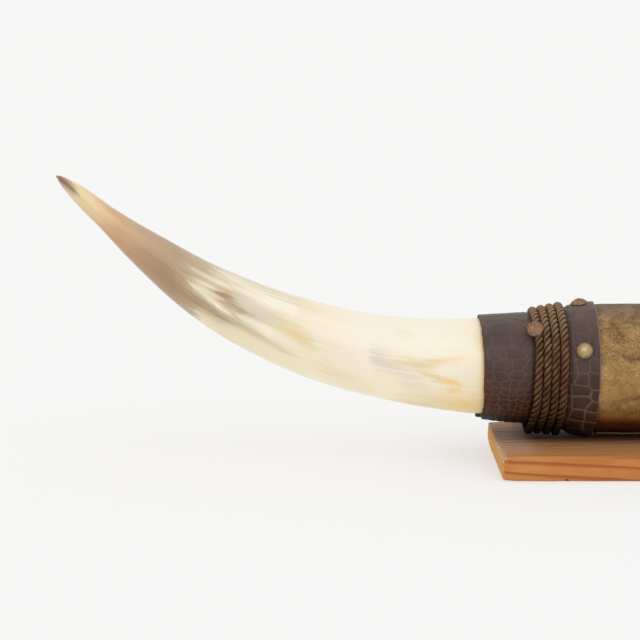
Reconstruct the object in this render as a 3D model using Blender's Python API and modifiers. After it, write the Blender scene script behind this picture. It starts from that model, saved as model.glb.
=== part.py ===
# Pair of steer horns on a board: two polished horns plugged onto a hide-covered wooden core.
# Each joint is wrapped in an embossed leather cuff, which is bound with rope and studded.
# Metres, +Z up. The origin is the middle of the board's underside, +X runs to the right horn's tip.

import math

import bmesh
import bpy
from mathutils import Matrix, Vector

MM = 0.001
GAP = 0.3 * MM  # air left between pieces that touch

# Board, a length of nominal 1x6 softwood
BOARD_LENGTH = 310 * MM
BOARD_WIDTH = 140 * MM
BOARD_THICKNESS = 19 * MM
BOARD_EDGE = 3 * MM

# Heights and places along X, as distances from the middle
CUFF_INNER_END = 77 * MM
CUFF_RADIUS = 52.5 * MM  # the cuffs' inner ends are what stands on the board
AXIS_HEIGHT = BOARD_THICKNESS + GAP + CUFF_RADIUS
AXIS_BACK = 16 * MM  # the wrapped middle stands nearer the board's back edge
CUFF_TILT = math.radians(1.2)  # each cuff rises a little towards its horn

# Leather
CUFF_THICKNESS = 1.7 * MM
HIDE_THICKNESS = 1.3 * MM
HIDE_RADIUS = 51.0 * MM

# Distance out along the cuff, radius of its outside: a flare, the bed of the rope, a loose belly, the rim
CUFF_PROFILE = [
    (0 * MM, CUFF_RADIUS),
    (12 * MM, 50.9 * MM),
    (22.6 * MM, 48.9 * MM),
    (25.9 * MM, 45.6 * MM),
    (49.8 * MM, 40.6 * MM),
    (52.6 * MM, 42.6 * MM),
    (66 * MM, 42.3 * MM),
    (78 * MM, 41.4 * MM),
    (89 * MM, 40.3 * MM),
]
CUFF_START = math.radians(-34)  # wound down the front and round the back
# The cuff's edges were cut by hand: angle wound so far, distance out of the edge
CUFF_OUTER_EDGE = [
    (-34, 84 * MM),
    (-62, 86 * MM),
    (-80, 93 * MM),
    (-120, 91 * MM),
    (-180, 89.5 * MM),
    (-270, 91.5 * MM),
    (-360, 88.5 * MM),
    (-433, 87.5 * MM),
]
CUFF_INNER_EDGE = [
    (-34, 4.5 * MM),
    (-75, 4 * MM),
    (-110, 2.4 * MM),
    (-270, 1.8 * MM),
    (-433, 2.8 * MM),
]
FLARE_END, BELLY_START = 22.6 * MM, 52.6 * MM  # between them the leather lies under the rope
LAP_RISE_FROM, LAP_RISE_TO = math.radians(-372), math.radians(-398)
LAP_LIFT = CUFF_THICKNESS + 0.3 * MM

# Hide round the middle: half length, radius of its outside
HIDE_HALF_LENGTH = 84 * MM
HIDE_PROFILE = [
    (0 * MM, HIDE_RADIUS),
    (76 * MM, 50.45 * MM),
    (HIDE_HALF_LENGTH, 49.2 * MM),
]
HIDE_START = math.radians(-110)  # wound up the front, over the top and lapped underneath
HEM_RISE_FROM, HEM_RISE_TO = math.radians(222), math.radians(247)
HEM_LIFT = HIDE_THICKNESS + 0.2 * MM
HEM_HALF_LENGTH = 76 * MM  # the hem stops short of the cuffs

# Rope, a quarter inch thick, four turns
ROPE_RADIUS = 3.1 * MM
ROPE_TURNS = 4
ROPE_FIRST, ROPE_PITCH = 29.3 * MM, 6.47 * MM
ROPE_SEAT = 3.8 * MM  # rope centre above the leather
ROPE_SAG, ROPE_DRIFT = 3.2 * MM, 1.8 * MM  # the outermost turn hangs down and slips out underneath
ROPE_START = math.radians(-96)
STEP_FROM, STEP_TO = math.radians(205), math.radians(262)  # where a turn steps over to the next

# Studs: distance out along the cuff, angle up from the front
STUD_RADIUS, STUD_HEIGHT, STUD_RIM = 6.9 * MM, 4 * MM, 0.6 * MM
STUD_ROW, STUD_CLEARANCE = 13.5 * MM, 0.45 * MM
STUD_ANGLES = {"front": 24, "top": 88, "back": 152}
ROPE_STUD_RADIUS, ROPE_STUD_HEIGHT = 6.4 * MM, 3 * MM
ROPE_STUD_PLACE, ROPE_STUD_CLEARANCE, ROPE_STUD_LEAN = 50.4 * MM, 1.1 * MM, 0.2
ROPE_STUD_ANGLE, ROPE_STUD_FACE = 45.5, 34  # it is bent down to face forwards more than the rope does

# Wooden core: distance from the middle, radius
CORE_PROFILE = [
    (0 * MM, 49.2 * MM),
    (76 * MM, 48.6 * MM),
    (84 * MM, 47.4 * MM),
    (96 * MM, 45.4 * MM),
    (102 * MM, 42.0 * MM),
    (119.5 * MM, 37.6 * MM),
]
PEG_RADIUS, PEG_END = 19 * MM, 158 * MM

# Left horn at its stations: place, radius
HORN_STATIONS = [
    ((-121.5 * MM, 16 * MM, 72.6 * MM), 37.6 * MM),
    ((-166 * MM, 16 * MM, 73.5 * MM), 37.4 * MM),
    ((-231 * MM, 10 * MM, 79.9 * MM), 32.7 * MM),
    ((-299 * MM, 4 * MM, 97.1 * MM), 29.2 * MM),
    ((-365 * MM, 4 * MM, 125.7 * MM), 23.5 * MM),
    ((-433 * MM, 14 * MM, 170.8 * MM), 13.5 * MM),
    ((-456 * MM, 20.7 * MM, 188.7 * MM), 9.4 * MM),
    ((-483 * MM, 29 * MM, 210.5 * MM), 5.7 * MM),
    ((-492.5 * MM, 32.5 * MM, 217.8 * MM), 2.9 * MM),
    ((-497 * MM, 34 * MM, 221.2 * MM), 0.6 * MM),
]
RIGHT_TIP_SHIFT = Vector((-5 * MM, 6 * MM, 7 * MM))  # the two horns didn't grow quite alike

# Screws that hold the core down, from below
SCREW_PLACES = (-55 * MM, 55 * MM)
SCREW_RADIUS, SCREW_HEAD_RADIUS, SCREW_HEAD_HEIGHT = 2.2 * MM, 4.2 * MM, 2.6 * MM
SCREW_LENGTH, SCREW_SINK = 44 * MM, 0.8 * MM

# Facets: a wrapped sheet has so many to a turn and so many in all, so that its lap lies facet on facet
TURN_FACETS, SHEET_FACETS = 28, 31
SHEET_ANGLE = math.tau * SHEET_FACETS / TURN_FACETS
ROPE_TURN_POINTS, HORN_BEVEL, ROUND_STEPS = 22, 7, 20

COLOURS = {  # colour, roughness, metallic
    "horn": ((0.82, 0.68, 0.46), 0.3, 0),
    "cuff_leather": ((0.045, 0.024, 0.017), 0.5, 0),
    "hide": ((0.27, 0.16, 0.06), 0.65, 0),
    "rope": ((0.11, 0.06, 0.03), 0.85, 0),
    "brass": ((0.34, 0.24, 0.14), 0.45, 1),
    "board": ((0.48, 0.24, 0.1), 0.6, 0),
    "core_wood": ((0.55, 0.4, 0.24), 0.7, 0),
    "screw": ((0.5, 0.5, 0.48), 0.4, 1),
}


def clear_scene():
    for old in list(bpy.data.objects):
        bpy.data.objects.remove(old)


def new_collection(name, shown=True):
    made = bpy.data.collections.new(name)
    made.hide_render = not shown
    bpy.context.scene.collection.children.link(made)
    return made


def make_material(name):
    colour, roughness, metallic = COLOURS[name]
    made = bpy.data.materials.new(name)
    made.use_nodes = True
    shader = made.node_tree.nodes["Principled BSDF"]
    shader.inputs["Base Color"].default_value = (*colour, 1)
    shader.inputs["Roughness"].default_value = roughness
    shader.inputs["Metallic"].default_value = metallic
    return made


def add(name, data, material):
    """The data as an object of the part."""
    data.materials.clear()
    data.materials.append(MATERIALS[material])
    made = bpy.data.objects.new(name, data)
    PART.objects.link(made)
    return made


def mesh_from(shape, name):
    """The finished bmesh as a mesh, and the bmesh freed."""
    data = bpy.data.meshes.new(name)
    shape.to_mesh(data)
    shape.free()
    data.shade_smooth()
    data.set_sharp_from_angle(angle=math.radians(35))
    return data


def smoothstep(low, high, value):
    share = min(1.0, max(0.0, (value - low) / (high - low)))
    return share * share * (3 - 2 * share)


def between(profile, place):
    """Radius of a profile at a place along it."""
    for (a, low), (b, high) in zip(profile, profile[1:]):
        if place <= b:
            return low + (high - low) * (place - a) / (b - a)
    return profile[-1][1]


def wrap_point(along, radius, angle):
    """A point round the X axis: angle 0 is the front, a right angle is the top."""
    return Vector((along, -radius * math.cos(angle), radius * math.sin(angle)))


def rolled_sheet(stations, start, end, place):
    """A flat grid rolled up: place(station, angle) gives each of its points."""
    shape = bmesh.new()
    bmesh.ops.create_grid(shape, x_segments=SHEET_FACETS, y_segments=len(stations) - 1, size=1)
    for vert in shape.verts:
        share = (vert.co.x + 1) / 2
        station = stations[round((vert.co.y + 1) / 2 * (len(stations) - 1))]
        vert.co = place(station, start + (end - start) * share)
    bmesh.ops.recalc_face_normals(shape, faces=shape.faces)
    middle = sum((v.co for v in shape.verts), Vector()) / len(shape.verts)
    face = shape.faces[:][len(shape.faces) // 2]
    outward = face.calc_center_median() - middle
    outward.x = 0
    if face.normal.dot(outward) < 0:
        bmesh.ops.reverse_faces(shape, faces=shape.faces)
    return shape


def thicken(obj, thickness):
    """Gives an open surface its wall, on the inner side."""
    wall = obj.modifiers.new("wall", "SOLIDIFY")
    wall.thickness = thickness
    wall.offset = -1
    wall.use_even_offset = True


def cut(obj, cutter):
    hole = obj.modifiers.new("cut " + cutter.name, "BOOLEAN")
    hole.operation = "DIFFERENCE"
    hole.object = cutter


def lathe(profile, name, steps=ROUND_STEPS):
    """A solid turned about X, from (place, radius) pairs that start and end on the axis."""
    shape = bmesh.new()
    verts = [shape.verts.new((radius, 0, -place)) for place, radius in profile]
    for a, b in zip(verts, verts[1:]):
        shape.edges.new((a, b))
    data = bpy.data.meshes.new(name)
    shape.to_mesh(data)
    shape.free()
    turned = bpy.data.objects.new(name + " profile", data)
    HELPERS.objects.link(turned)
    spin = turned.modifiers.new("turn", "SCREW")
    spin.angle = math.tau
    spin.steps = spin.render_steps = steps
    spin.use_merge_vertices = True
    spin.merge_threshold = 0.01 * MM
    turned.rotation_euler = (0, -math.pi / 2, 0)
    return solid_mesh(turned, name)


def solid_mesh(obj, name):
    """The evaluated object as a closed mesh in the part's frame, and the object removed."""
    bpy.context.view_layer.update()
    seen = obj.evaluated_get(bpy.context.evaluated_depsgraph_get())
    data = bpy.data.meshes.new_from_object(seen)
    data.name = name
    shape = bmesh.new()
    shape.from_mesh(data)
    shape.transform(obj.matrix_world)
    bmesh.ops.remove_doubles(shape, verts=shape.verts, dist=0.01 * MM)
    bmesh.ops.recalc_face_normals(shape, faces=shape.faces)
    shape.to_mesh(data)
    shape.free()
    bpy.data.objects.remove(obj)
    data.shade_smooth()
    data.set_sharp_from_angle(angle=math.radians(35))
    return data


def helper(name, data):
    """A cutter, which isn't part of the model."""
    made = bpy.data.objects.new(name, data)
    made.hide_render = True
    made.display_type = "WIRE"
    HELPERS.objects.link(made)
    return made


def cuff_frame(side):
    """Where a cuff's own axis lies: it starts at the cuff's inner end and runs out along X."""
    place = Matrix.Translation((side * CUFF_INNER_END, AXIS_BACK, AXIS_HEIGHT))
    return place @ Matrix.Diagonal((side, 1, 1, 1)) @ Matrix.Rotation(-CUFF_TILT, 4, "Y")


def placed(data, matrix):
    """A mesh moved by a matrix, and turned the right way out if that matrix mirrors it."""
    data.transform(matrix)
    if matrix.determinant() < 0:
        data.flip_normals()
    return data


def build_board():
    bpy.ops.mesh.primitive_cube_add(size=1, location=(0, 0, BOARD_THICKNESS / 2))
    board = bpy.context.object
    board.name = "base_board"
    board.scale = (BOARD_LENGTH, BOARD_WIDTH, BOARD_THICKNESS)
    bpy.ops.object.transform_apply(location=False, rotation=False, scale=True)
    for old in board.users_collection:
        old.objects.unlink(board)
    PART.objects.link(board)
    board.data.materials.append(MATERIALS["board"])
    edge = board.modifiers.new("rounded edges", "BEVEL")
    edge.width = BOARD_EDGE
    edge.segments = 2
    return board


def screw_profile(clearance):
    """Countersunk wood screw standing on its head, as (height, radius)."""
    foot = -clearance if not clearance else -SCREW_SINK - 1 * MM
    head = SCREW_HEAD_RADIUS + clearance
    shank = SCREW_RADIUS + clearance
    return [
        (foot, 0),
        (foot, head),
        (0.4 * MM, head),
        (SCREW_HEAD_HEIGHT, shank),
        (SCREW_LENGTH - 6 * MM, shank),
        (SCREW_LENGTH + clearance, 0.6 * MM + clearance / 2),
        (SCREW_LENGTH + clearance, 0),
    ]


def build_screws():
    """The two screws, and a cutter for the holes that they need."""
    upright = Matrix.Rotation(-math.pi / 2, 4, "Y")
    holes = bmesh.new()
    for number, place in enumerate(SCREW_PLACES, 1):
        where = Matrix.Translation((place, AXIS_BACK, SCREW_SINK)) @ upright
        name = f"mounting_screw_{number}"
        add(name, placed(lathe(screw_profile(0), name, 10), where), "screw")
        holes.from_mesh(placed(lathe(screw_profile(GAP), name + " hole", 10), where))
    return helper("screw holes", mesh_from(holes, "screw holes"))


def build_core():
    """Wooden former with a peg at each end for the horns."""
    half = [*CORE_PROFILE, (CORE_PROFILE[-1][0], PEG_RADIUS), (PEG_END, PEG_RADIUS - 1 * MM), (PEG_END, 0)]
    left = [(-place, radius) for place, radius in reversed(half[1:])]
    return add("center_core", placed(lathe(left + half, "center_core"), AXIS), "core_wood")


def build_hide():
    """Hide round the core, its outer end lapped over its start along the underside."""
    half = [place for place, _ in HIDE_PROFILE[1:]]
    stations = [-place for place in reversed(half)] + [0] + half

    def place(station, angle):
        lift = smoothstep(HEM_RISE_FROM, HEM_RISE_TO, angle)
        along = station * (1 + (HEM_HALF_LENGTH / HIDE_HALF_LENGTH - 1) * lift)
        radius = between(HIDE_PROFILE, abs(along)) + HEM_LIFT * lift
        return wrap_point(along, radius, angle)

    shape = rolled_sheet(stations, HIDE_START, HIDE_START + SHEET_ANGLE, place)
    hide = add("center_hide", placed(mesh_from(shape, "center_hide"), AXIS), "hide")
    thicken(hide, HIDE_THICKNESS)
    return hide


def cuff_surface(along, lift):
    return between(CUFF_PROFILE, along) + LAP_LIFT * lift


def edge_at(edge, angle):
    """Distance out of one of the cuff's edges where the band is wound to an angle."""
    return between([(-degrees, out) for degrees, out in edge], -math.degrees(angle))


def build_cuff(side, word):
    """Leather cuff: a band wound once round and lapped over itself low at the front."""
    length = CUFF_PROFILE[-1][0]

    def place(station, angle):
        lift = smoothstep(-LAP_RISE_FROM, -LAP_RISE_TO, -angle)
        inner = edge_at(CUFF_INNER_EDGE, angle)
        outer = edge_at(CUFF_OUTER_EDGE, angle) - length
        along = station + inner * max(0, 1 - station / FLARE_END)
        along += outer * max(0, (station - BELLY_START) / (length - BELLY_START))
        return wrap_point(-along, cuff_surface(station, lift), angle)

    shape = rolled_sheet([a for a, _ in CUFF_PROFILE], CUFF_START, CUFF_START - SHEET_ANGLE, place)
    mirrored = Matrix.Diagonal((-1, 1, 1, 1))
    data = placed(mesh_from(shape, f"{word}_cuff"), cuff_frame(side) @ mirrored)
    cuff = add(f"{word}_cuff", data, "cuff_leather")
    thicken(cuff, CUFF_THICKNESS)
    return cuff


def rope_lap(angle):
    """How far the lapped end of the cuff pushes the rope out, from 0 to 1, at an angle from -pi/2 up."""
    return smoothstep(math.radians(-96), math.radians(-78), angle) * (
        1 - smoothstep(math.radians(-36), math.radians(-6), angle)
    )


def rope_route():
    """Middle of the rope: four level turns that step over to the next one under the horn."""
    points = []
    total = math.tau * (ROPE_TURNS - 1) + STEP_FROM - ROPE_START
    steps = round(total / math.tau * ROPE_TURN_POINTS)
    for i in range(steps + 1):
        wound = total * i / steps
        turn, part = divmod(wound, math.tau)
        angle = ROPE_START + part
        slot = turn + smoothstep(STEP_FROM, STEP_TO, angle)
        hang = slot / (ROPE_TURNS - 1) * ((1 - math.sin(angle)) / 2) ** 1.5
        along = ROPE_FIRST + ROPE_PITCH * slot + ROPE_DRIFT * hang
        lift = rope_lap(angle) + rope_lap(angle - math.tau)
        radius = cuff_surface(along, lift) + ROPE_SEAT + ROPE_SAG * hang
        points.append(wrap_point(along, radius, angle))
    return points


def build_rope(side, word):
    line = bpy.data.curves.new(f"{word}_rope", "CURVE")
    line.dimensions = "3D"
    line.bevel_depth = ROPE_RADIUS
    line.bevel_resolution = 2
    line.use_fill_caps = True
    route = rope_route()
    spline = line.splines.new("POLY")
    spline.points.add(len(route) - 1)
    for point, where in zip(spline.points, route):
        point.co = (*(cuff_frame(side) @ where), 1)
    return add(f"{word}_rope", line, "rope")


def stud_mesh(name, radius, height):
    """Domed nail head lying on z = 0."""
    profile = [
        (0, 0),
        (0, radius),
        (STUD_RIM, radius),
        (0.62 * height, 0.74 * radius),
        (0.92 * height, 0.38 * radius),
        (height, 0),
    ]
    return placed(lathe(profile, name, 10), Matrix.Rotation(-math.pi / 2, 4, "Y"))


def slope(near, far):
    """How steeply the cuff narrows from one place along it to another."""
    return (between(CUFF_PROFILE, near) - between(CUFF_PROFILE, far)) / (far - near)


def build_stud(side, name, size, where, face, lean):
    """A stud of a radius and height, its back at a place, facing an angle and leaning outwards."""
    outward = wrap_point(0, 1, math.radians(face)) + Vector((lean, 0, 0))
    turn = outward.to_track_quat("Z", "Y").to_matrix().to_4x4()
    matrix = cuff_frame(side) @ Matrix.Translation(where) @ turn
    return add(name, placed(stud_mesh(name, *size), matrix), "brass")


def build_studs(side, word):
    lean = slope(STUD_ROW - STUD_RADIUS, STUD_ROW + STUD_RADIUS)
    height = between(CUFF_PROFILE, STUD_ROW) + STUD_CLEARANCE
    for place, degrees in STUD_ANGLES.items():
        where = wrap_point(STUD_ROW, height, math.radians(degrees))
        size = STUD_RADIUS, STUD_HEIGHT
        build_stud(side, f"{word}_{place}_stud", size, where, degrees, lean)
    last = ROPE_FIRST + ROPE_PITCH * (ROPE_TURNS - 1)
    height = between(CUFF_PROFILE, last) + ROPE_SEAT + ROPE_RADIUS + ROPE_STUD_CLEARANCE
    where = wrap_point(ROPE_STUD_PLACE, height, math.radians(ROPE_STUD_ANGLE))
    size = ROPE_STUD_RADIUS, ROPE_STUD_HEIGHT
    build_stud(side, f"{word}_rope_stud", size, where, ROPE_STUD_FACE, ROPE_STUD_LEAN)


def horn_stations(side):
    """Places and radii of a horn, the right one mirrored and drawn a little aside towards its tip."""
    reach = abs(HORN_STATIONS[-1][0][0]) - CUFF_INNER_END - CUFF_PROFILE[-1][0]
    for place, radius in HORN_STATIONS:
        where = Vector(place)
        if side > 0:
            where.x = -where.x
            out = max(0, where.x - CUFF_INNER_END - CUFF_PROFILE[-1][0]) / reach
            where += RIGHT_TIP_SHIFT * out**2
        yield where, radius


def build_horn(side, word, socket):
    line = bpy.data.curves.new(f"{word}_horn", "CURVE")
    line.dimensions = "3D"
    line.bevel_depth = 1
    line.bevel_resolution = HORN_BEVEL
    line.resolution_u = 3
    line.use_fill_caps = True
    spline = line.splines.new("BEZIER")
    spline.radius_interpolation = "CARDINAL"
    spline.bezier_points.add(len(HORN_STATIONS) - 1)
    for point, (where, radius) in zip(spline.bezier_points, horn_stations(side)):
        point.co = where
        point.radius = radius
        point.handle_left_type = point.handle_right_type = "AUTO"
    curve = bpy.data.objects.new(f"{word}_horn curve", line)
    HELPERS.objects.link(curve)
    horn = add(f"{word}_horn", solid_mesh(curve, f"{word}_horn"), "horn")
    cut(horn, socket)
    return horn


def build_sockets():
    """Cutter for the holes in the horns' bases that the core's pegs fill."""
    near, far = CORE_PROFILE[-1][0] - 10 * MM, PEG_END + GAP
    shape = bmesh.new()
    for side in (-1, 1):
        profile = [(near, 0), (near, PEG_RADIUS + GAP), (far, PEG_RADIUS - 1 * MM + GAP), (far, 0)]
        shape.from_mesh(placed(lathe(profile, "socket"), AXIS @ Matrix.Diagonal((side, 1, 1, 1))))
    return helper("horn sockets", mesh_from(shape, "horn sockets"))


clear_scene()
PART = new_collection("steer_horns")
HELPERS = new_collection("cutters", shown=False)
MATERIALS = {name: make_material(name) for name in COLOURS}
AXIS = Matrix.Translation((0, AXIS_BACK, AXIS_HEIGHT))

board_object = build_board()
screw_holes = build_screws()
core_object = build_core()
hide_object = build_hide()
for drilled in (board_object, core_object, hide_object):
    cut(drilled, screw_holes)

sockets = build_sockets()
for side_sign, side_word in ((-1, "left"), (1, "right")):
    build_horn(side_sign, side_word, sockets)
    build_cuff(side_sign, side_word)
    build_rope(side_sign, side_word)
    build_studs(side_sign, side_word)
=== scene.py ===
import math

import bmesh
import bpy
import numpy as np
from mathutils import Matrix, Vector


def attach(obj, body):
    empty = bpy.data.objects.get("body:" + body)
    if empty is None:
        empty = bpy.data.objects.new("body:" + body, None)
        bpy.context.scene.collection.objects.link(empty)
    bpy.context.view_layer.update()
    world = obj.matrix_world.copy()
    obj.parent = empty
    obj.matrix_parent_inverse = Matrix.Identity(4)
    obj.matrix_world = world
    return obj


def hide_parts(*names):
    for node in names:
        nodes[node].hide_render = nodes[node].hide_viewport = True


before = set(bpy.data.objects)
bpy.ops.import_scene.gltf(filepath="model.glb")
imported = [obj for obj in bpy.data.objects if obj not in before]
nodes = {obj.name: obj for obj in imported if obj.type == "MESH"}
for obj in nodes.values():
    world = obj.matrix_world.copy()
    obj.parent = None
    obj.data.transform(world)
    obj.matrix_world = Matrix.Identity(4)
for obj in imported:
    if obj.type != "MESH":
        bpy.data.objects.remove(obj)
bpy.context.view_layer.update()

mm = 0.001
tau = math.tau
print("frame loaded,", len(nodes), "nodes")


# materials: a Wire is one value in a material, and sums of wires add its maths nodes
class Wire:
    def __init__(self, paint, socket):
        self.paint, self.socket = paint, socket

    def __add__(self, other):
        return self.paint.maths("ADD", self, other)

    def __sub__(self, other):
        return self.paint.maths("SUBTRACT", self, other)

    def __rsub__(self, other):
        return self.paint.maths("SUBTRACT", other, self)

    def __mul__(self, other):
        return self.paint.maths("MULTIPLY", self, other)

    def __truediv__(self, other):
        return self.paint.maths("DIVIDE", self, other)

    __radd__ = __add__

    def between(self, low, high, start=0.0, end=1.0):  # eased from start to end
        return self.paint.node("ShaderNodeMapRange", {"interpolation_type": "SMOOTHSTEP"},
                               {0: self, 1: low, 2: high, 3: start, 4: end})


class Paint:
    def __init__(self, name, **fixed):
        self.material = bpy.data.materials.new(name)
        self.material.use_nodes = True
        self.tree = self.material.node_tree
        self.shader = self.tree.nodes["Principled BSDF"]
        for socket, value in fixed.items():
            self.shader.inputs[socket.replace("_", " ")].default_value = value

    def node(self, kind, settings=None, values=None, out=0):
        made = self.tree.nodes.new(kind)
        for key, value in (settings or {}).items():
            if key == "stops":
                ramp = made.color_ramp
                while len(ramp.elements) < len(value):
                    ramp.elements.new(0.5)
                for stop, (place, colour) in zip(ramp.elements, value):
                    stop.position, stop.color = place, (*rgb(*colour), 1)
            else:
                setattr(made, key, value)
        for key, value in (values or {}).items():
            self.feed(made.inputs[key], value)
        return Wire(self, made.outputs[out])

    def feed(self, socket, value):
        if isinstance(value, Wire):
            self.tree.links.new(value.socket, socket)
        elif isinstance(value, tuple) and socket.type == "RGBA" and len(value) == 3:
            socket.default_value = (*rgb(*value), 1)
        else:
            socket.default_value = value

    def end(self, socket, value):
        self.feed(self.shader.inputs[socket], value)

    def attribute(self, name, vector=False):
        return self.node("ShaderNodeAttribute", {"attribute_name": name}, out=1 if vector else 2)

    def place(self):  # Object coordinates
        return self.node("ShaderNodeTexCoord", out=3)

    def axis(self, vector, letter):
        return self.node("ShaderNodeSeparateXYZ", None, {0: vector}, out="XYZ".index(letter))

    def maths(self, operation, *values):
        return self.node("ShaderNodeMath", {"operation": operation}, dict(enumerate(values)))

    def vectorMaths(self, operation, *values, out=0):
        return self.node("ShaderNodeVectorMath", {"operation": operation}, dict(enumerate(values)), out)

    def scaled(self, vector, x, y, z):
        return self.vectorMaths("MULTIPLY", vector, (x, y, z))

    def noise(self, vector, scale, detail=3.0, rough=0.5, warp=0.0, out=0):
        values = {"Vector": vector, "Scale": scale, "Detail": detail, "Roughness": rough, "Distortion": warp}
        return self.node("ShaderNodeTexNoise", None, values, out)

    def cells(self, vector, scale, randomness=1.0, dimensions="3D"):  # distance to the nearest cell's edge
        settings = {"feature": "DISTANCE_TO_EDGE", "voronoi_dimensions": dimensions}
        return self.node("ShaderNodeTexVoronoi", settings,
                         {"Vector": vector, "Scale": scale, "Randomness": randomness})

    def mix(self, share, low, high, blend="MIX"):
        return self.node("ShaderNodeMix", {"data_type": "RGBA", "blend_type": blend},
                         {0: share, 6: low, 7: high}, out=2)

    def over(self, colour, tones, **shares):  # lays each named tone over the colour, in turn
        for tone, share in shares.items():
            colour = self.mix(share, colour, tones[tone])
        return colour

    def ramp(self, value, stops):
        return self.node("ShaderNodeValToRGB", {"stops": stops}, {0: value})

    def bump(self, height, distance, strength=1.0, under=None):
        values = {"Height": height, "Distance": distance, "Strength": strength}
        if under:
            values["Normal"] = under
        return self.node("ShaderNodeBump", None, values)


def rgb(red, green, blue):  # 0 to 255 as the eye reads them, to light
    return tuple(((c / 255 + 0.055) / 1.055) ** 2.4 if c > 10 else c / 255 / 12.92 for c in (red, green, blue))


# mesh helpers
def readPoints(piece):
    flat = np.empty(len(piece.data.vertices) * 3)
    piece.data.vertices.foreach_get("co", flat)
    return flat.reshape(-1, 3)


def writePoints(piece, points):
    piece.data.vertices.foreach_set("co", np.ascontiguousarray(points, dtype=np.float32).ravel())
    piece.data.update()


def keepNumbers(piece, name, values):
    values = np.asarray(values, dtype=np.float32)
    vector = values.ndim == 2
    layer = piece.data.attributes.new(name, "FLOAT_VECTOR" if vector else "FLOAT", "POINT")
    layer.data.foreach_set("vector" if vector else "value", values.ravel())


def ease(low, high, value):  # 0 at low, 1 at high, smooth in between
    share = np.clip((value - low) / (high - low), 0, 1)
    return share * share * (3 - 2 * share)


def cloud(seed, *places):  # smooth random numbers from -1 to 1 that change over about one unit
    size = 61
    lattice = np.random.default_rng(seed).uniform(-1, 1, (size,) * len(places))
    low = [np.floor(p).astype(int) for p in places]
    part = [ease(0, 1, p - l) for p, l in zip(places, low)]
    total = 0
    for corner in np.ndindex(*(2,) * len(places)):
        weight = 1
        for step, share in zip(corner, part):
            weight = weight * (share if step else 1 - share)
        total = total + weight * lattice[tuple((l + step) % size for l, step in zip(low, corner))]
    return total


def through(knots, values, at):  # a smooth curve through values at the knots
    knots, values = np.asarray(knots, float), np.asarray(values, float)
    slope = np.empty_like(values)
    run = np.diff(knots)
    chord = (np.diff(values, axis=0).T / run).T
    slope[0], slope[-1] = chord[0], chord[-1]
    for i in range(1, len(knots) - 1):
        a, b = run[i - 1], run[i]
        slope[i] = (chord[i - 1] * b + chord[i] * a) / (a + b)
    i = np.clip(np.searchsorted(knots, at) - 1, 0, len(knots) - 2)
    t = (at - knots[i]) / run[i]
    if values.ndim == 2:
        t, step = t[:, None], run[i][:, None]
    else:
        step = run[i]
    return ((2 * t**3 - 3 * t**2 + 1) * values[i] + (t**3 - 2 * t**2 + t) * step * slope[i]
            + (3 * t**2 - 2 * t**3) * values[i + 1] + (t**3 - t**2) * step * slope[i + 1])


def unit(vectors):
    return vectors / np.maximum(np.linalg.norm(vectors, axis=1, keepdims=True), 1e-12)


def square(vectors, axis):  # the part of each vector that is square to an axis, one unit long
    return unit(vectors - axis * np.sum(vectors * axis, axis=1)[:, None])


def moved(matrix, points):
    m = np.array(matrix)
    return points @ m[:3, :3].T + m[:3, 3]


def startPiece(name):
    piece = bpy.context.object
    piece.name = piece.data.name = name
    return piece


def gridPiece(name, columns, rows):  # a flat grid, and each point's share across and along it
    bpy.ops.object.select_all(action="DESELECT")
    bpy.ops.mesh.primitive_grid_add(x_subdivisions=columns, y_subdivisions=rows, size=2)
    piece = startPiece(name)
    flat = readPoints(piece)
    return piece, (flat[:, 0] + 1) / 2, (flat[:, 1] + 1) / 2


def applied(piece, kind, **settings):
    bpy.ops.object.select_all(action="DESELECT")
    piece.select_set(True)
    bpy.context.view_layer.objects.active = piece
    made = piece.modifiers.new(kind.lower(), kind)
    for key, value in settings.items():
        setattr(made, key, value)
    bpy.ops.object.modifier_apply(modifier=made.name)


def welded(piece, distance=0.01 * mm):  # merges doubles and points the faces outwards
    shape = bmesh.new()
    shape.from_mesh(piece.data)
    bmesh.ops.remove_doubles(shape, verts=shape.verts, dist=distance)
    bmesh.ops.recalc_face_normals(shape, faces=shape.faces)
    shape.to_mesh(piece.data)
    shape.free()


def finished(piece, paint, replaced, sharp=40):
    bpy.ops.object.select_all(action="DESELECT")
    piece.select_set(True)
    bpy.context.view_layer.objects.active = piece
    bpy.ops.object.shade_smooth_by_angle(angle=math.radians(sharp))
    piece.data.materials.clear()
    piece.data.materials.append(paint.material)
    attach(piece, "root")
    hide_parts(replaced)


# sizes shared with the part
wrap = {
    "axisHeight": 71.8 * mm, "axisBack": 16 * mm,
    "cuffInnerEnd": 77 * mm,
    "tilt": math.radians(1.2),
}


def cuffMatrix(side):
    place = Matrix.Translation((side * wrap["cuffInnerEnd"], wrap["axisBack"], wrap["axisHeight"]))
    return place @ Matrix.Diagonal((side, 1, 1, 1)) @ Matrix.Rotation(-wrap["tilt"], 4, "Y")


def roundAxis(along, radius, angle):  # angle 0 is the front, a right angle is the top
    return np.stack([along, -radius * np.cos(angle), radius * np.sin(angle)], axis=1)


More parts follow.
